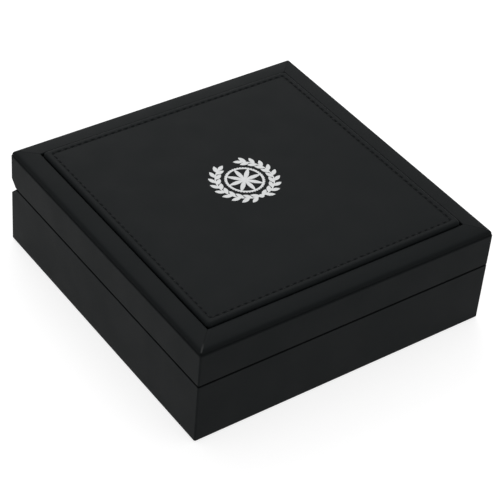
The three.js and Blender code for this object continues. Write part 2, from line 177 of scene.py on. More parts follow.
# Camera, fitted to the case's edges in the photograph
CAMERA_PLACE = (-378.14, -485.33, 524.59)
CAMERA_AIM = (-8.74, -15.41, 30.5)
CAMERA_ROLL = 5.26
CAMERA_LENS = 129.82
SENSOR_WIDTH = 36
CAMERA_REACH = 20


def make_camera():
    data = bpy.data.cameras.new("camera")
    data.lens = CAMERA_LENS
    data.sensor_width = SENSOR_WIDTH
    data.clip_end = CAMERA_REACH
    camera = bpy.data.objects.new("camera", data)
    bpy.context.scene.collection.objects.link(camera)
    camera.location = Vector(CAMERA_PLACE) * MM
    forward = Vector(CAMERA_AIM) - Vector(CAMERA_PLACE)
    level = forward.to_track_quat("-Z", "Y")
    camera.rotation_mode = "QUATERNION"
    camera.rotation_quaternion = level @ Quaternion((0, 0, 1), math.radians(CAMERA_ROLL))
    bpy.context.scene.camera = camera


# Node materials

def connect(tree, value, socket):
    if isinstance(value, bpy.types.NodeSocket):
        tree.links.new(value, socket)
    elif isinstance(value, tuple) and len(socket.default_value) == 4:
        socket.default_value = (*value, 1)
    else:
        socket.default_value = value


def add(tree, kind, inputs=None, **settings):
    node = tree.nodes.new(kind)
    for key, value in settings.items():
        setattr(node, key, value)
    for key, value in (inputs or {}).items():
        connect(tree, value, node.inputs[key])
    return node


def calc(tree, operation, *values):
    return add(tree, "ShaderNodeMath", dict(enumerate(values)), operation=operation).outputs[0]


def ramp(tree, value, low, high, low_result=0.0, high_result=1.0):
    inputs = {
        "Value": value,
        "From Min": low,
        "From Max": high,
        "To Min": low_result,
        "To Max": high_result,
    }
    node = add(tree, "ShaderNodeMapRange", inputs, interpolation_type="SMOOTHSTEP")
    return node.outputs[0]


def mixed(tree, share, first, second):
    inputs = {0: share, 6: first, 7: second}
    return add(tree, "ShaderNodeMix", inputs, data_type="RGBA").outputs[2]


def noise(tree, place, size, detail=2.0):
    """Noise with features of about this size in millimetres."""
    inputs = {"Vector": place, "Scale": 1 / (size * MM), "Detail": detail}
    return add(tree, "ShaderNodeTexNoise", inputs).outputs[0]


def cells(tree, place, size, feature="DISTANCE_TO_EDGE"):
    inputs = {"Vector": place, "Scale": 1 / (size * MM)}
    return add(tree, "ShaderNodeTexVoronoi", inputs, feature=feature).outputs["Distance"]


def stretched(tree, place, x, y, z):
    return add(tree, "ShaderNodeMapping", {"Vector": place, "Scale": (x, y, z)}).outputs[0]


def warped(tree, place, size, reach):
    """The place, pushed about by noise of this size over this reach in millimetres."""
    inputs = {"Vector": place, "Scale": 1 / (size * MM)}
    push = add(tree, "ShaderNodeTexNoise", inputs).outputs["Color"]
    middle = add(tree, "ShaderNodeVectorMath", {0: push, 1: (0.5, 0.5, 0.5)}, operation="SUBTRACT")
    scaled = add(
        tree,
        "ShaderNodeVectorMath",
        {0: middle.outputs[0], "Scale": reach * MM},
        operation="SCALE",
    )
    total = {0: place, 1: scaled.outputs[0]}
    return add(tree, "ShaderNodeVectorMath", total, operation="ADD").outputs[0]


def bump(tree, height, depth, strength=1.0, normal=None):
    """Bump whose full height is this depth in millimetres."""
    inputs = {"Height": height, "Distance": depth * MM, "Strength": strength}
    if normal:
        inputs["Normal"] = normal
    return add(tree, "ShaderNodeBump", inputs).outputs[0]


def new_material(name, **sockets):
    material = bpy.data.materials.new(name)
    material.use_nodes = True
    tree = material.node_tree
    shader = tree.nodes["Principled BSDF"]
    for key, value in sockets.items():
        connect(tree, value, shader.inputs[key.replace("_", " ")])
    place = add(tree, "ShaderNodeTexCoord").outputs["Object"]
    return material, tree, shader, place


def give(tree, shader, **sockets):
    for key, value in sockets.items():
        connect(tree, value, shader.inputs[key.replace("_", " ")])


# The leatherette's finish, in millimetres; a pair says where a ramp starts and ends
GRAIN_SIZE = 0.55
GRAIN_DEPTH = 0.02
GRAIN_WARP_SIZE = 0.9
GRAIN_WARP_REACH = 0.35
PORE_SIZE = 0.09
PATCH_SIZE = 14
WAVE_SIZE = 22
WAVE_DEPTH = 0.05
RUB_SIZE = 2.5
# Painted highlight along the lower part of the front-left mitre: its width and the heights above
# the crease where it starts and ends
HIGHLIGHT_WIDTH = (0.15, 0.55)
HIGHLIGHT_FOOT = (0.6, 1.1)
HIGHLIGHT_HEAD = (1.7, 2.15)
RUBBED_CORNER = (-0.9, -0.2)
CORNER_WEAR = 0.05
# How strongly the painted highlight lightens the front-left mitre
MITRE_PAINTED_HIGHLIGHT = 0.9
# Painted shade at the crease under the cornice and at the seam: how far it reaches, how strong it
# is, and the added roughness
CREASE_REACH = (0.3, 1.6)
CREASE_PAINTED_SHADE = 0.35
SEAM_REACH = (0.3, 0.8)
CREVICE_PAINTED_SHADE = 0.8
CREVICE_ROUGHNESS = 0.3
LEATHER_DARK = (0.0044, 0.0057, 0.0062)
LEATHER_LIGHT = (0.0056, 0.0071, 0.0076)
# The pale grey of worn corners, also painted along the front-left mitre as a highlight
LEATHER_WORN_AND_HIGHLIT = (0.060, 0.062, 0.062)
# The near-black painted into the crease and the seam as shade
LEATHER_PAINTED_SHADE = (0.0012, 0.0014, 0.0016)


def ramp_between(tree, value, places, origin=0.0, results=(0.0, 1.0)):
    """A ramp between two places in millimetres from an origin."""
    start, end = [(origin + place) * MM for place in places]
    return ramp(tree, value, start, end, *results)


def wear_and_highlight(tree, place, spot, mitre_highlight):
    """How far the leather is lightened: real wear in patches at the corners, and a painted
    highlight along the front-left mitre.
    """
    x = calc(tree, "ABSOLUTE", spot[0])
    y = calc(tree, "ABSOLUTE", spot[1])
    corner = ramp_between(tree, calc(tree, "MINIMUM", x, y), RUBBED_CORNER, HALF)
    patches = ramp(tree, noise(tree, place, RUB_SIZE), 0.42, 0.68)
    worn = calc(tree, "MULTIPLY", calc(tree, "MULTIPLY", corner, patches), CORNER_WEAR)
    if not mitre_highlight:
        return worn
    apart = calc(tree, "ABSOLUTE", calc(tree, "SUBTRACT", x, y))
    near_mitre = ramp_between(tree, apart, HIGHLIGHT_WIDTH, results=(1.0, 0.0))
    above = ramp_between(tree, spot[2], HIGHLIGHT_FOOT, CREASE)
    below = ramp_between(tree, spot[2], HIGHLIGHT_HEAD, CREASE, (1.0, 0.0))
    at_front_left = ramp(tree, calc(tree, "ADD", spot[0], spot[1]), -HALF * MM, 0.0, 1.0, 0.0)
    band = calc(tree, "MULTIPLY", calc(tree, "MULTIPLY", above, below), at_front_left)
    # Painted highlight: a lighter streak on the lower part of the front-left mitre
    painted_highlight = calc(tree, "MULTIPLY", calc(tree, "MULTIPLY", near_mitre, band), mitre_highlight)
    return calc(tree, "MAXIMUM", worn, painted_highlight)


def near_level(tree, height, level, reach, share):
    """A share that fades with the distance from a level, both in millimetres."""
    apart = calc(tree, "ABSOLUTE", calc(tree, "SUBTRACT", height, level * MM))
    return ramp_between(tree, apart, reach, results=(share, 0.0))


def leatherette(name, mitre_highlight=0.0):
    material, tree, shader, place = new_material(name, Specular_IOR_Level=0.09)
    soft = noise(tree, place, PATCH_SIZE)
    pushed = warped(tree, place, GRAIN_WARP_SIZE, GRAIN_WARP_REACH)
    pebbles = ramp(tree, cells(tree, pushed, GRAIN_SIZE), 0.0, 0.16)
    pores = noise(tree, place, PORE_SIZE, 3.0)
    height = calc(tree, "MULTIPLY_ADD", pores, 0.25, pebbles)
    waves = bump(tree, noise(tree, place, WAVE_SIZE, 1.0), WAVE_DEPTH, 0.3)
    normal = bump(tree, height, GRAIN_DEPTH, 0.6, waves)
    colour = mixed(tree, ramp(tree, soft, 0.35, 0.65), LEATHER_DARK, LEATHER_LIGHT)
    colour = mixed(tree, calc(tree, "MULTIPLY", pebbles, 0.35), colour, LEATHER_LIGHT)
    spot = add(tree, "ShaderNodeSeparateXYZ", {0: place}).outputs
    colour = mixed(tree, wear_and_highlight(tree, place, spot, mitre_highlight), colour, LEATHER_WORN_AND_HIGHLIT)
    roughness = ramp(tree, soft, 0.3, 0.7, 0.62, 0.67)

    # Painted shade: the leather's colour is darkened to near-black where it turns in at the seam
    # and under the cornice, and it is rougher there
    at_crease = near_level(tree, spot[2], CREASE, CREASE_REACH, CREASE_PAINTED_SHADE)
    at_seam = near_level(tree, spot[2], HINGE_Z, SEAM_REACH, 1.0)
    crevice_shade_mask = calc(tree, "MAXIMUM", at_crease, at_seam)
    colour = mixed(tree, calc(tree, "MULTIPLY", crevice_shade_mask, CREVICE_PAINTED_SHADE), colour, LEATHER_PAINTED_SHADE)
    roughness = calc(tree, "MULTIPLY_ADD", crevice_shade_mask, CREVICE_ROUGHNESS, roughness)
    give(tree, shader, Base_Color=colour, Roughness=roughness, Normal=normal)
    return material


def thread():
    dark = (0.004, 0.0045, 0.005)
    light = (0.009, 0.0095, 0.010)
    material, tree, shader, place = new_material("thread", Specular_IOR_Level=0.25)
    strands = noise(tree, place, 0.12, 3.0)
    colour = mixed(tree, strands, dark, light)
    give(tree, shader, Base_Color=colour, Roughness=0.7, Normal=bump(tree, strands, 0.04))
    return material


def velvet():
    dark = (0.0035, 0.0035, 0.0042)
    light = (0.0085, 0.0085, 0.0098)
    tips = (0.012, 0.012, 0.014)
    material, tree, shader, place = new_material(
        "velvet",
        Roughness=0.95,
        Specular_IOR_Level=0.15,
        Sheen_Weight=0.5,
        Sheen_Roughness=0.45,
        Sheen_Tint=(0.30, 0.30, 0.34),
    )
    pile = noise(tree, place, 0.14, 3.0)
    nap = noise(tree, place, 9)
    colour = mixed(tree, ramp(tree, nap, 0.35, 0.7), dark, light)
    colour = mixed(tree, calc(tree, "MULTIPLY", pile, 0.4), colour, tips)
    normal = bump(tree, pile, 0.12, 0.8, bump(tree, nap, 0.25, 0.5))
    give(tree, shader, Base_Color=colour, Normal=normal)
    return material


def felt_cloth():
    dark = (0.004, 0.004, 0.004)
    light = (0.020, 0.020, 0.021)
    material, tree, shader, place = new_material(
        "felt",
        Roughness=1.0,
        Specular_IOR_Level=0.1,
        Sheen_Weight=0.06,
    )
    combed = stretched(tree, warped(tree, place, 1.5, 1.2), 1, 0.35, 1)
    fibres = noise(tree, combed, 0.25, 4.0)
    clumps = noise(tree, place, 5)
    normal = bump(tree, fibres, 0.15, 0.9, bump(tree, clumps, 0.2, 0.6))
    give(tree, shader, Base_Color=mixed(tree, fibres, dark, light), Normal=normal)
    return material


def satin():
    cream = (0.70, 0.64, 0.52)
    ivory = (0.78, 0.73, 0.62)
    gleam = (0.86, 0.82, 0.72)
    material, tree, shader, place = new_material(
        "satin",
        Specular_IOR_Level=0.45,
        Sheen_Weight=0.2,
        Sheen_Tint=(0.95, 0.92, 0.84),
        Anisotropic=0.4,
    )
    warp = noise(tree, stretched(tree, place, 1, 0.06, 1), 0.16)
    weft = noise(tree, stretched(tree, place, 0.06, 1, 1), 0.22)
    threads = calc(tree, "MULTIPLY_ADD", weft, 0.6, warp)
    tone = noise(tree, place, 30)
    colour = mixed(tree, tone, cream, ivory)
    colour = mixed(tree, calc(tree, "MULTIPLY", threads, 0.25), colour, gleam)
    roughness = ramp(tree, tone, 0.3, 0.7, 0.33, 0.43)
    normal = bump(tree, threads, 0.03, 0.7)
    give(tree, shader, Base_Color=colour, Roughness=roughness, Normal=normal)
    return material


def nickel():
    bright = (0.66, 0.64, 0.60)
    dull = (0.50, 0.48, 0.44)
    material, tree, shader, place = new_material("nickel", Metallic=1.0)
    brushed = noise(tree, stretched(tree, place, 0.05, 1, 1), 0.08, 3.0)
    tarnish = noise(tree, place, 3)
    colour = mixed(tree, ramp(tree, tarnish, 0.35, 0.7), bright, dull)
    roughness = ramp(tree, brushed, 0.3, 0.7, 0.22, 0.38)
    normal = bump(tree, brushed, 0.006, 0.7)
    give(tree, shader, Base_Color=colour, Roughness=roughness, Normal=normal)
    return material


def silver_foil():
    dull = (0.50, 0.51, 0.51)
    bright = (0.66, 0.67, 0.67)
    blotched = (0.56, 0.57, 0.58)
    material, tree, shader, place = new_material("foil", Metallic=0.15, Specular_IOR_Level=0.5)
    grain = noise(tree, place, 0.45, 3.0)
    blotches = noise(tree, place, 3)
    colour = mixed(tree, ramp(tree, grain, 0.3, 0.7), dull, bright)
    colour = mixed(tree, calc(tree, "MULTIPLY", blotches, 0.3), colour, blotched)
    roughness = ramp(tree, grain, 0.3, 0.7, 0.42, 0.55)
    normal = bump(tree, grain, 0.02, 0.6)
    give(tree, shader, Base_Color=colour, Roughness=roughness, Normal=normal)
    return material


def fibreboard():
    dark = (0.24, 0.145, 0.070)
    light = (0.40, 0.260, 0.135)
    chip = (0.20, 0.12, 0.06)
    material, tree, shader, place = new_material("bare_board", Specular_IOR_Level=0.3)
    fibres = noise(tree, stretched(tree, warped(tree, place, 2, 1.5), 0.3, 0.3, 1), 0.35, 4.0)
    chips = cells(tree, stretched(tree, place, 0.5, 0.5, 1), 0.9, "F1")
    colour = mixed(tree, fibres, dark, light)
    colour = mixed(tree, calc(tree, "MULTIPLY", chips, 0.3), colour, chip)
    # The lid's boards show inside its rim and in the groove round the panel: stained black
    up = add(tree, "ShaderNodeSeparateXYZ", {0: place}).outputs[2]
    stained = ramp(tree, up, HINGE_Z * MM, LID_RIM * MM)
    colour = mixed(tree, stained, colour, LEATHER_DARK)
    normal = bump(tree, fibres, 0.08, 0.8)
    give(tree, shader, Base_Color=colour, Roughness=0.88, Normal=normal)
    return material


def greyboard():
    dark = (0.22, 0.21, 0.19)
    light = (0.31, 0.30, 0.28)
    fleck = (0.12, 0.11, 0.10)
    material, tree, shader, place = new_material("grey_board", Specular_IOR_Level=0.3)
    pulp = noise(tree, place, 0.4, 4.0)
    spots = cells(tree, warped(tree, place, 1, 0.6), 0.9, "F1")
    flecks = ramp(tree, spots, 0.12, 0.3, 0.5, 0.0)
    colour = mixed(tree, flecks, mixed(tree, pulp, dark, light), fleck)
    give(tree, shader, Base_Color=colour, Roughness=0.92, Normal=bump(tree, pulp, 0.05, 0.7))
    return material


def foam(name, dark, light):
    material, tree, shader, place = new_material(name, Specular_IOR_Level=0.2)
    pores = ramp(tree, cells(tree, warped(tree, place, 0.8, 0.3), 0.5), 0.0, 0.22)
    tone = noise(tree, place, 6)
    colour = mixed(tree, pores, dark, light)
    colour = mixed(tree, calc(tree, "MULTIPLY", tone, 0.3), colour, dark)
    give(tree, shader, Base_Color=colour, Roughness=0.96, Normal=bump(tree, pores, 0.12, 0.8))
    return material


# Meshes

def new_object(name, points, faces):
    mesh = bpy.data.meshes.new(name)
    mesh.from_pydata([[value * MM for value in point] for point in points], [], faces)
    mesh.update()
    made = bpy.data.objects.new(name, mesh)
    bpy.context.scene.collection.objects.link(made)
    return made


def apply_modifiers(target):
    graph = bpy.context.evaluated_depsgraph_get()
    made = bpy.data.meshes.new_from_object(target.evaluated_get(graph))
    target.modifiers.clear()
    target.data = made


def cut(target, cutters):
    for cutter in cutters:
        step = target.modifiers.new("cut", "BOOLEAN")
        step.operation = "DIFFERENCE"
        step.solver = "EXACT"
        step.object = cutter
    apply_modifiers(target)
    for cutter in cutters:
        bpy.data.objects.remove(cutter)
    return target


def smooth(target, sharp_angle):
    mesh = target.data
    mesh.polygons.foreach_set("use_smooth", [True] * len(mesh.polygons))
    mesh.set_sharp_from_angle(angle=math.radians(sharp_angle))


def shade(target, sharp_angle=SHARP_ANGLE):
    """Smooth shading that leaves flat faces flat and keeps the sharp edges."""
    smooth(target, sharp_angle)
    weighted = target.modifiers.new("flat faces", "WEIGHTED_NORMAL")
    weighted.mode = "FACE_AREA"
    weighted.weight = 100
    weighted.keep_sharp = True
    apply_modifiers(target)


def soften(target, width, segments=3):
    """Rounds the edges that turn by more than the bevel angle."""
    rounding = target.modifiers.new("edges", "BEVEL")
    rounding.limit_method = "ANGLE"
    rounding.angle_limit = math.radians(BEVEL_ANGLE)
    rounding.width = width * MM
    rounding.segments = segments
    rounding.use_clamp_overlap = True


def dress(target, body, slot, material, *replaced):
    target.data.materials.clear()
    target.data.materials.append(material)
    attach(target, body)
    if replaced:
        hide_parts(*replaced)
    return target


def block(low, high):
    xs, ys, zs = zip(low, high)
    corners = [(x, y, z) for z in zs for y in ys for x in xs]
    faces = [(0, 2, 3, 1), (4, 5, 7, 6), (0, 1, 5, 4), (2, 6, 7, 3), (0, 4, 6, 2), (1, 3, 7, 5)]
    return new_object("cutter", corners, faces)


def plate(half_side, low, high):
    return block((-half_side, -half_side, low), (half_side, half_side, high))


def prism_along_x(outline, half_width):
    """A closed prism on an outline of (y, z) points, anticlockwise as seen from +X."""
    count = len(outline)
    points = [(x, y, z) for x in (-half_width, half_width) for y, z in outline]
    faces = [tuple(range(count - 1, -1, -1)), tuple(range(count, 2 * count))]
    for i in range(count):
        following = (i + 1) % count
        faces.append((i, following, count + following, count + i))
    return new_object("cutter", points, faces)


def rod_along_x(radius, length, x):
    outline = []
    for i in range(ROD_SIDES):
        angle = 4 * RIGHT_ANGLE * i / ROD_SIDES
        outline.append((HINGE_Y + radius * math.cos(angle), HINGE_Z + radius * math.sin(angle)))
    rod = prism_along_x(outline, length / 2)
    rod.data.transform(Matrix.Translation((x * MM, 0, 0)))
    return rod


def turned(x, y, quarter):
    """The point turned about the upright axis by quarter turns."""
    for _ in range(quarter % 4):
        x, y = -y, x
    return x, y


def ring(half_side, radius, side_steps=1, bow=0.0):
    """Points round a square with round corners; bow draws each side in at its middle."""
    points = []
    straight = half_side - radius
    for corner in range(4):
        for i in range(CORNER_STEPS + 1):
            angle = RIGHT_ANGLE * i / CORNER_STEPS
            x = straight + radius * math.cos(angle)
            y = straight + radius * math.sin(angle)
            points.append(turned(x, y, corner))
        for i in range(1, side_steps):
            along = 1 - 2 * i / side_steps
            drawn = half_side - bow * (1 - along * along)
            points.append(turned(along * straight, drawn, corner))
    return points


def raised(points, z):
    return [(x, y, z) for x, y in points]


def loft(name, rings):
    """A closed skin over rings of equal count, with a face over each end."""
    count = len(rings[0])
    points = [point for one in rings for point in one]
    faces = [tuple(range(count - 1, -1, -1))]
    for start in range(0, (len(rings) - 1) * count, count):
        for i in range(count):
            low = start + i
            following = start + (i + 1) % count
            faces.append((low, following, following + count, low + count))
    faces.append(tuple(range(len(points) - count, len(points))))
    return new_object(name, points, faces)


# Leatherette over the two halves of the case

def soft_block(name, half_side, low, high, radius, low_edge, high_edge):
    rings = []
    for i in range(EDGE_STEPS + 1):
        angle = RIGHT_ANGLE * i / EDGE_STEPS
        inset = low_edge * (1 - math.sin(angle))
        z = low + low_edge * (1 - math.cos(angle))
        rings.append(raised(ring(half_side - inset, max(SHARP_CORNER, radius - inset)), z))
    for i in range(EDGE_STEPS, -1, -1):
        angle = RIGHT_ANGLE * i / EDGE_STEPS
        inset = high_edge * (1 - math.sin(angle))
        z = high - high_edge * (1 - math.cos(angle))
        rings.append(raised(ring(half_side - inset, max(SHARP_CORNER, radius - inset)), z))
    return loft(name, rings)


def notch(side, skin):
    """The half of the notch at 45 degrees that one half of the case gives up."""
    back = (NOTCH_RELIEF + skin) * math.sqrt(2)
    reach = NOTCH_DEPTH + OVERRUN
    corners = [(-back - reach, reach), (reach, -back - reach), (reach, reach)]
    outline = [(HINGE_Y + y, HINGE_Z - side * z) for y, z in corners]
    if side == IN_LID:
        outline.reverse()
    return prism_along_x(outline, HALF + OVERRUN)


def hinge_room(side, inside):
    cutters = []
    far = side * (LEAF_HEIGHT + MORTISE_GAP)
    reach = LEAF_WIDTH / 2 + MORTISE_GAP
    leaf_back = HINGE_Y - KNUCKLE_RADIUS + LEAF_THICKNESS
    for x in (-HINGE_OFFSET, HINGE_OFFSET):
        low = (x - reach, inside - OVERRUN, HINGE_Z + min(0, far))
        high = (x + reach, leaf_back, HINGE_Z + max(0, far))
        cutters.append(block(low, high))
        cutters.append(rod_along_x(KNUCKLE_RADIUS + KNUCKLE_RELIEF, 2 * reach, x))
    return cutters


def cover(name, low, high, edges, boards, openings, side, inside, material):
    skin = soft_block(name, HALF, low, high, CORNER_RADIUS, *edges)
    core = cut(plate(BOARD_HALF, *boards), [notch(side, LEATHER)])
    windows = [plate(*opening) for opening in openings]
    cut(skin, [notch(side, 0), core, *windows, *hinge_room(side, inside)])
    soften(skin, COVER_EDGE)
    apply_modifiers(skin)
    shade(skin)
    body = "base" if side == IN_BASE else "lid"
    return dress(skin, body, "black_leatherette", material, name.replace("_skin", "_cover"))


# Cornice strips, each between two mitres

def cornice_section():
    """Points (inset, z, outward part, upward part) round a strip's section, from its inner foot."""
    run = CORNICE_RUN - QUIRK
    shoulder_slope = SHOULDER_RISE * SHOULDER_SHARPNESS / run
    crown_slope = 2 * CROWN_RISE / run
    foot_angle = math.atan(shoulder_slope + crown_slope)
    centre = QUIRK + FOOT_ROLL / math.tan(foot_angle / 2)
    section = [(CORNICE_RUN, CREASE, 0.0, 0.0)]
    for i in range(ROLL_STEPS + 1):
        angle = (2 * RIGHT_ANGLE - foot_angle) * i / ROLL_STEPS
        out, down = math.sin(angle), math.cos(angle)
        z = CREASE + FOOT_ROLL * (1 - down)
        section.append((centre - FOOT_ROLL * out, z, out, max(0.0, -down)))
    rolled = section[-1][0]
    inner = CORNICE_RUN - GROOVE_ROLL
    for i in range(1, CORNICE_STEPS):
        share = (i / CORNICE_STEPS) ** CORNICE_SPREAD
        inset = QUIRK + run * share
        if rolled + ROLL_START_GAP < inset < inner - ROLL_END_GAP:
            left = 1 - share
            z = CREASE + SHOULDER_RISE * (1 - left**SHOULDER_SHARPNESS) + CROWN_RISE * (1 - left**2)
            slope = shoulder_slope * left ** (SHOULDER_SHARPNESS - 1) + crown_slope * left
            length = math.hypot(slope, 1)
            section.append((inset, z, slope / length, 1 / length))
    shoulder = section[-1][1]
    for i in range(ROLL_STEPS + 1):
        angle = RIGHT_ANGLE * i / ROLL_STEPS
        inset = inner + GROOVE_ROLL * math.sin(angle)
        z = shoulder - GROOVE_ROLL * (1 - math.cos(angle))
        section.append((inset, z, 0.0, math.cos(angle)))
    return section


def strip_point(inset, z, out, up, place):
    """The point of a front strip's right half that lies this far along it from the mitre."""
    radius = CORNER_RADIUS * max(0.0, 1 - (z - CREASE) / POINTED_FROM)
    side = HALF - inset
    arc = radius * RIGHT_ANGLE / 2
    if place < arc:
        angle = RIGHT_ANGLE / 2 + place / radius
        x = side - radius + radius * math.cos(angle)
        y = -(side - radius) - radius * math.sin(angle)
    else:
        x = side - radius - (place - arc)
        y = -side
    from_mitre = max(0.0, (-y - x) / math.sqrt(2))
    closed = (inset - MITRE_OPEN_TO) / (MITRE_SHUT_FROM - MITRE_OPEN_TO)
    opening = max(MITRE_SHUT, min(1.0, 1 - closed))
    share = min(1.0, from_mitre / MITRE_ROLL)
    dip = MITRE_DIP * opening * (1 - math.sqrt(1 - (1 - share) ** 2))
    fade = max(0.0, 1 - place / MITRE_PLACES[-1])
    x -= MITRE_GAP * opening / math.sqrt(2) * fade
    return x, y + dip * out, z - dip * up


def cornice_strip(name, quarter, material):
    section = cornice_section()
    count = len(section)
    columns = [(place, 1) for place in MITRE_PLACES]
    columns += [(place, -1) for place in MITRE_PLACES[::-1]]
    points = []
    for place, hand in columns:
        for inset, z, out, up in section:
            x, y, height = strip_point(inset, z, out, up, place)
            points.append((*turned(hand * x, y, quarter), height))
    faces = [tuple(range(count))]
    for start in range(0, (len(columns) - 1) * count, count):
        for i in range(count):
            low = start + i
            following = start + (i + 1) % count
            faces.append((low, low + count, following + count, following))
    faces.append(tuple(range(len(points) - 1, len(points) - count - 1, -1)))
    strip = new_object(name + "_leather", points, faces)
    shade(strip)
    return dress(strip, "lid", "black_leatherette", material, name)


# The panel's leatherette, with its rolled edge and sewn channel, and the thread in it

STITCH_PITCH = 2 * (PANEL_HALF - STITCH_INSET) / STITCHES_A_SIDE


def panel_crown(inset):
    """How far the leather lies below the panel's middle; the roll stands above the sewn line."""
    inside = CROWN_DROP * max(0.0, 1 - inset / CROWN_RUN) ** 2
    blend = max(0.0, min(1.0, 0.5 + (inset - STITCH_INSET) / (2 * CHANNEL_HALF_WIDTH)))
    return ROLL_DROP + (inside - ROLL_DROP) * blend


def panel_height(inset, along):
    across = min(1.0, abs(inset - STITCH_INSET) / CHANNEL_HALF_WIDTH)
    pull = 1 + PUCKER_SHARE * math.cos(4 * RIGHT_ANGLE * along / STITCH_PITCH)
    dip = CHANNEL_DEPTH * pull * math.cos(across * RIGHT_ANGLE) ** 2
    return PANEL_TOP - panel_crown(inset) - dip


def panel_leather(material):
    side_steps = STITCHES_A_SIDE * STEPS_A_STITCH
    inner = PANEL_HALF - PANEL_SKIN
    ceiling = FIELD + PANEL_BOARD + PANEL_FOAM
    inside = ring(inner, PANEL_CORNER - PANEL_SKIN, side_steps)
    rings = [raised(inside, ceiling), raised(inside, FIELD)]
    for tuck, z in ((FOOT_TUCK, FIELD), (FOOT_TUCK / 3, FIELD + FOOT_TUCK)):
        rings.append(raised(ring(PANEL_HALF - tuck, PANEL_CORNER - tuck, side_steps), z))
    roll_top = panel_height(ROLL_RADIUS, STITCH_PITCH / 4)
    for i in range(EDGE_STEPS + 1):
        angle = RIGHT_ANGLE * i / EDGE_STEPS
        inset = ROLL_RADIUS * (1 - math.cos(angle))
        z = roll_top - ROLL_RADIUS * (1 - math.sin(angle))
        rings.append(raised(ring(PANEL_HALF - inset, PANEL_CORNER - inset / 2, side_steps), z))
    insets = [
        STITCH_INSET + CHANNEL_HALF_WIDTH * (2 * i / CHANNEL_STEPS - 1)
        for i in range(CHANNEL_STEPS + 1)
    ]
    insets += [CROWN_RUN * share for share in CROWN_SHARES]
    corner = PANEL_CORNER - ROLL_RADIUS / 2
    for inset in insets:
        flat = ring(PANEL_HALF - inset, corner, side_steps)
        rings.append([(x, y, panel_height(inset, min(abs(x), abs(y)))) for x, y in flat])
    leather = loft("panel_leather", rings)
    smooth(leather, PANEL_SHARP_ANGLE)
    dress(leather, "lid", "black_leatherette", material, "panel_cover")
    return leather


def stitch(points, faces, start, end, quarter):
    """Adds one stitch along the front of the panel, dipping into a needle hole at each end."""
    first = len(points)
    row = -(PANEL_HALF - STITCH_INSET)
    for i in range(THREAD_STATIONS):
        share = i / (THREAD_STATIONS - 1)
        x = start + (end - start) * share
        lift = THREAD_RISE * (1 - abs(2 * share - 1) ** 4) - THREAD_RADIUS
        centre = panel_height(STITCH_INSET, x) + lift
        full = math.sqrt(max(0.0, math.sin(share * 2 * RIGHT_ANGLE)))
        slim = THREAD_RADIUS * (THREAD_END_SHARE + (1 - THREAD_END_SHARE) * full)
        for j in range(THREAD_SIDES):
            angle = 4 * RIGHT_ANGLE * j / THREAD_SIDES
            y = row + slim * math.cos(angle)
            z = centre + slim * math.sin(angle)
            points.append((*turned(x, y, quarter), z))
    for i in range(THREAD_STATIONS - 1):
        for j in range(THREAD_SIDES):
            low = first + i * THREAD_SIDES
            following = (j + 1) % THREAD_SIDES
            high = low + THREAD_SIDES
            faces.append((low + j, low + following, high + following, high + j))
    faces.append(tuple(range(first + THREAD_SIDES - 1, first - 1, -1)))
    faces.append(tuple(range(len(points) - THREAD_SIDES, len(points))))


def panel_thread(material):
    points, faces = [], []
    row_half = STITCHES_A_SIDE * STITCH_PITCH / 2
    for quarter in range(4):
        for i in range(STITCHES_A_SIDE):
            start = -row_half + i * STITCH_PITCH + THREAD_GAP / 2
            stitch(points, faces, start, start + STITCH_PITCH - THREAD_GAP, quarter)
    sewing = new_object("panel_thread", points, faces)
    shade(sewing, THREAD_SHARP_ANGLE)
    return dress(sewing, "lid", "black_leatherette", material)


# Coin tray with rounded, velvet covered edges

def arc(centre, radius, start, end, steps):
    points = []
    for i in range(steps):
        angle = start + (end - start) * i / steps
        points.append((centre[0] + radius * math.cos(angle), centre[1] + radius * math.sin(angle)))
    return points


def recess_outline(y):
    """Two coin wells joined by a thumb notch."""
    well_x = RECESS_PLACE
    meet_x = (THUMB_RADIUS**2 - RECESS_RADIUS**2 + well_x**2) / (2 * well_x)
    meet_y = math.sqrt(THUMB_RADIUS**2 - meet_x**2)
    in_well = math.atan2(meet_y, well_x - meet_x)
    in_thumb = math.atan2(meet_y, meet_x)
    half_turn = 2 * RIGHT_ANGLE
    whole = 2 * half_turn
    turns = (
        (-well_x, RECESS_RADIUS, in_well, whole - in_well, RECESS_STEPS),
        (0, THUMB_RADIUS, half_turn + in_thumb, whole - in_thumb, THUMB_STEPS),
        (well_x, RECESS_RADIUS, half_turn + in_well, half_turn + whole - in_well, RECESS_STEPS),
        (0, THUMB_RADIUS, in_thumb, half_turn - in_thumb, THUMB_STEPS),
    )
    points = []
    for x, radius, start, end, steps in turns:
        points += arc((x, y), radius, start, end, steps)
    return points


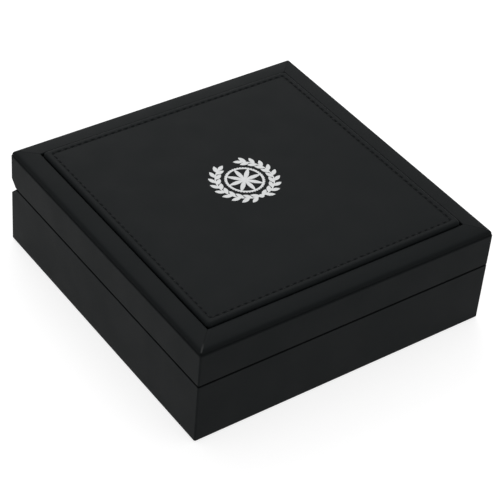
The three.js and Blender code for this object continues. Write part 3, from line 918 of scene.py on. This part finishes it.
def coin_tray(material):
    corners = [turned(TRAY_HALF, TRAY_HALF, quarter) for quarter in range(4)]
    outlines = [corners, recess_outline(-RECESS_PLACE), recess_outline(RECESS_PLACE)]
    data = bpy.data.curves.new("coin_tray_velvet", "CURVE")
    data.dimensions = "2D"
    data.fill_mode = "BOTH"
    data.bevel_depth = TRAY_ROUNDING * MM
    data.bevel_resolution = 3
    data.offset = -TRAY_ROUNDING * MM
    data.extrude = (TRAY_LAYER / 2 - TRAY_ROUNDING) * MM
    for outline in outlines:
        spline = data.splines.new("POLY")
        spline.points.add(len(outline) - 1)
        for point, (x, y) in zip(spline.points, outline):
            point.co = (x * MM, y * MM, 0, 1)
        spline.use_cyclic_u = True
    drawn = bpy.data.objects.new("drawn", data)
    bpy.context.scene.collection.objects.link(drawn)
    graph = bpy.context.evaluated_depsgraph_get()
    mesh = bpy.data.meshes.new_from_object(drawn.evaluated_get(graph))
    bpy.data.objects.remove(drawn)
    tray = bpy.data.objects.new("coin_tray_velvet", mesh)
    bpy.context.scene.collection.objects.link(tray)
    middle = BASE_HEIGHT - TRAY_BELOW_RIM - TRAY_LAYER / 2
    mesh.transform(Matrix.Translation((0, 0, middle * MM)))
    weld = tray.modifiers.new("weld", "WELD")
    weld.merge_threshold = TRAY_WELD * MM
    apply_modifiers(tray)
    shade(tray, TRAY_SHARP_ANGLE)
    return dress(tray, "base", "black_velvet", material, "coin_tray")


# Satin cushion under the lid, blown up by a cloth simulation

CUSHION_HALF = LID_INSIDE - LINER - CUSHION_GAP
CUSHION_TOP = DECK_LOW - CUSHION_BOARD
CUSHION_START = 0.72
CUSHION_CAP = 1.9
CUSHION_VOXEL = 2.6
CUSHION_SHARES = (0.3, 0.55, 0.7, 0.8, 0.87, 0.92, 0.96, 0.985, 1.0)
CUSHION_FULLNESS = 5
CUSHION_SIDE_STEPS = 24
CUSHION_SHARP_ANGLE = 60
GLUED_HEIGHT = 0.6
CLOTH_PRESSURE = 4
CLOTH_SHRINK = -0.035
CLOTH_BENDING = 0.3
CLOTH_FRAMES = 20


def cushion_form():
    edge = CUSHION_TOP - CUSHION_TUCK
    crown = (CUSHION_HEIGHT - CUSHION_TUCK) * CUSHION_START
    steps = CUSHION_SIDE_STEPS
    rings = []
    for share in CUSHION_SHARES:
        drop = crown * math.sqrt(max(0.0, 1 - share**CUSHION_FULLNESS))
        outline = ring(CUSHION_HALF * share, CUSHION_CORNER * share, steps, CUSHION_BOW * share)
        rings.append(raised(outline, edge - drop))
    top = ring(CUSHION_HALF - CUSHION_TUCK / 2, CUSHION_CORNER, steps, CUSHION_BOW)
    rings.append(raised(top, CUSHION_TOP))
    return loft("lid_cushion_satin", rings)


def fill_cushion(cushion):
    """Cloth simulation under pressure, held where the satin is glued to its board."""
    before = [vertex.co.copy() for vertex in cushion.data.vertices]
    held = cushion.vertex_groups.new(name="held")
    glue_line = (CUSHION_TOP - GLUED_HEIGHT) * MM
    glued = [vertex.index for vertex in cushion.data.vertices if vertex.co.z > glue_line]
    held.add(glued, 1.0, "REPLACE")
    cloth = cushion.modifiers.new("fill", "CLOTH")
    settings = cloth.settings
    settings.vertex_group_mass = "held"
    settings.use_pressure = True
    settings.uniform_pressure_force = CLOTH_PRESSURE
    settings.shrink_min = CLOTH_SHRINK
    settings.bending_stiffness = CLOTH_BENDING
    settings.effector_weights.gravity = 0
    for step in range(1, CLOTH_FRAMES + 1):
        bpy.context.scene.frame_set(step)
    apply_modifiers(cushion)
    bpy.context.scene.frame_set(1)
    for vertex, old in zip(cushion.data.vertices, before):
        moved = vertex.co - old
        if moved.length > CUSHION_CAP * MM:
            vertex.co = old + moved.normalized() * CUSHION_CAP * MM


def lid_cushion(material):
    cushion = cushion_form()
    voxels = cushion.modifiers.new("even", "REMESH")
    voxels.mode = "VOXEL"
    voxels.voxel_size = CUSHION_VOXEL * MM
    apply_modifiers(cushion)
    fill_cushion(cushion)
    fine = cushion.modifiers.new("fine", "SUBSURF")
    fine.levels = 1
    fine.render_levels = 1
    apply_modifiers(cushion)
    side = (LID_INSIDE - LINER) * MM
    low = (CUSHION_TOP - CUSHION_HEIGHT) * MM
    for vertex in cushion.data.vertices:
        x, y, z = vertex.co
        vertex.co = (
            max(-side, min(side, x)),
            max(-side, min(side, y)),
            max(low, min(CUSHION_TOP * MM, z)),
        )
    shade(cushion, CUSHION_SHARP_ANGLE)
    dress(cushion, "lid", "ivory_satin", material, "lid_cushion")
    return cushion


# Finishes of the CAD nodes that stay in view, and softer edges on them

def smooth_group():
    """Geometry nodes that shade smooth across edges flatter than the smooth angle."""
    group = bpy.data.node_groups.new("smooth_by_angle", "GeometryNodeTree")
    group.interface.new_socket("Geometry", in_out="INPUT", socket_type="NodeSocketGeometry")
    group.interface.new_socket("Geometry", in_out="OUTPUT", socket_type="NodeSocketGeometry")
    start = group.nodes.new("NodeGroupInput")
    end = group.nodes.new("NodeGroupOutput")
    angle = group.nodes.new("GeometryNodeInputMeshEdgeAngle")
    flat = add(group, "FunctionNodeCompare", operation="LESS_THAN", data_type="FLOAT")
    group.links.new(angle.outputs[0], flat.inputs[0])
    flat.inputs[1].default_value = math.radians(SMOOTH_ANGLE)
    faces = add(group, "GeometryNodeSetShadeSmooth", domain="FACE")
    edges = add(group, "GeometryNodeSetShadeSmooth", domain="EDGE")
    group.links.new(start.outputs[0], faces.inputs[0])
    group.links.new(faces.outputs[0], edges.inputs[0])
    group.links.new(flat.outputs[0], edges.inputs["Shade Smooth"])
    group.links.new(edges.outputs[0], end.inputs[0])
    return group


# A word in the node's name, its finish and how far its edges are rounded in millimetres
NODE_FINISHES = (
    ("hinge", "nickel_steel", 0.08),
    ("foil", "silver_foil", 0.0),
    ("liner", "black_velvet", 0.22),
    ("felt", "black_felt", 0.15),
    ("tray_foam", "tray_foam", 0.3),
    ("panel_foam", "panel_foam", 0.2),
    ("panel_board", "greyboard", 0.1),
    ("cushion_board", "greyboard", 0.1),
    ("", "fibreboard", 0.2),
)


def finish_node(name, node, materials, group):
    kind, width = next(finish[1:] for finish in NODE_FINISHES if finish[0] in name)
    node.data.materials.clear()
    node.data.materials.append(materials[kind])
    weld = node.modifiers.new("weld", "WELD")
    weld.merge_threshold = NODE_WELD * MM
    if width:
        soften(node, width, 2)
    rounded = node.modifiers.new("smooth", "NODES")
    rounded.node_group = group


# Studio

FLOOR_SIZE = 6.0
FLOOR_GREY = 0.45
FLOOR_LIFT = 0.70
SKY_HORIZON = 0.50
SKY_ZENITH = 0.86
SKY_FULL_FROM = 0.7
LAMP_PLACE = (0.5, 1.2, 1.1)
LAMP_SIZE = 1.1
LAMP_POWER = 9


def seen_directly(tree):
    """1 for camera, glossy and transmission rays, which see the background."""
    path = add(tree, "ShaderNodeLightPath").outputs
    seen = calc(tree, "MAXIMUM", path["Is Camera Ray"], path["Is Glossy Ray"])
    return calc(tree, "MAXIMUM", seen, path["Is Transmission Ray"])


def make_floor():
    half = FLOOR_SIZE / 2 / MM
    corners = [(-half, -half, 0), (half, -half, 0), (half, half, 0), (-half, half, 0)]
    floor = new_object("floor", corners, [(0, 1, 2, 3)])
    material = bpy.data.materials.new("floor")
    material.use_nodes = True
    tree = material.node_tree
    tree.nodes.clear()
    out = add(tree, "ShaderNodeOutputMaterial")
    matte = add(tree, "ShaderNodeBsdfDiffuse", {"Color": (FLOOR_GREY,) * 3})
    lift = calc(tree, "MULTIPLY", seen_directly(tree), FLOOR_LIFT)
    glow = add(tree, "ShaderNodeEmission", {"Color": (1.0, 1.0, 1.0), "Strength": lift})
    both = add(tree, "ShaderNodeAddShader", {0: matte.outputs[0], 1: glow.outputs[0]})
    tree.links.new(both.outputs[0], out.inputs["Surface"])
    floor.data.materials.append(material)


def make_light():
    world = bpy.data.worlds.new("studio")
    bpy.context.scene.world = world
    world.use_nodes = True
    tree = world.node_tree
    up = add(tree, "ShaderNodeTexCoord").outputs["Generated"]
    height = add(tree, "ShaderNodeSeparateXYZ", {0: up}).outputs[2]
    level = ramp(tree, height, 0.0, SKY_FULL_FROM, SKY_HORIZON, SKY_ZENITH)
    background = tree.nodes["Background"]
    background.inputs["Color"].default_value = (1, 1, 1, 1)
    tree.links.new(level, background.inputs["Strength"])
    data = bpy.data.lights.new("softbox", "AREA")
    data.shape = "SQUARE"
    data.size = LAMP_SIZE
    data.energy = LAMP_POWER
    lamp = bpy.data.objects.new("softbox", data)
    bpy.context.scene.collection.objects.link(lamp)
    lamp.location = LAMP_PLACE
    lamp.rotation_mode = "QUATERNION"
    lamp.rotation_quaternion = (-Vector(LAMP_PLACE)).to_track_quat("-Z", "Y")


bpy.context.scene.view_settings.view_transform = "Standard"
make_camera()
make_floor()
make_light()

case_leather = leatherette("case_leather")
cornice_leather = leatherette("cornice_leather", MITRE_PAINTED_HIGHLIGHT)
velvet_finish = velvet()
satin_finish = satin()
finishes = {
    "nickel_steel": nickel(),
    "silver_foil": silver_foil(),
    "black_velvet": velvet_finish,
    "black_felt": felt_cloth(),
    "tray_foam": foam("dark_foam", (0.006, 0.006, 0.007), (0.020, 0.020, 0.022)),
    "panel_foam": foam("pale_foam", (0.10, 0.10, 0.09), (0.22, 0.22, 0.20)),
    "greyboard": greyboard(),
    "fibreboard": fibreboard(),
}

cover(
    "base_skin",
    FELT,
    BASE_HEIGHT,
    (RIM_EDGE_RADIUS, RIM_EDGE_RADIUS),
    (BOARD_LOW, BASE_WALL_TOP),
    (
        (HALF - TURN_UNDER, FELT - OVERRUN, BOARD_LOW + OVERRUN),
        (BASE_INSIDE, BASE_WALL_TOP - OVERRUN, BASE_HEIGHT + OVERRUN),
    ),
    IN_BASE,
    BASE_INSIDE,
    case_leather,
)
cover(
    "lid_skin",
    LID_RIM,
    CREASE,
    (RIM_EDGE_RADIUS, CREASE_EDGE_RADIUS),
    (LID_WALL_LOW, DECK_TOP),
    (
        (LID_INSIDE, LID_RIM - OVERRUN, LID_WALL_LOW + OVERRUN),
        (FIELD_HALF, DECK_TOP - OVERRUN, CREASE + OVERRUN),
    ),
    IN_LID,
    LID_INSIDE,
    case_leather,
)
for quarter, side in enumerate(("front", "right", "back", "left")):
    cornice_strip("cornice_" + side, quarter, cornice_leather)
panel_leather(case_leather)
panel_thread(thread())
coin_tray(velvet_finish)
lid_cushion(satin_finish)

by_angle = smooth_group()
for node_name, node_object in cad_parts.items():
    if not node_object.hide_render:
        finish_node(node_name, node_object, finishes, by_angle)
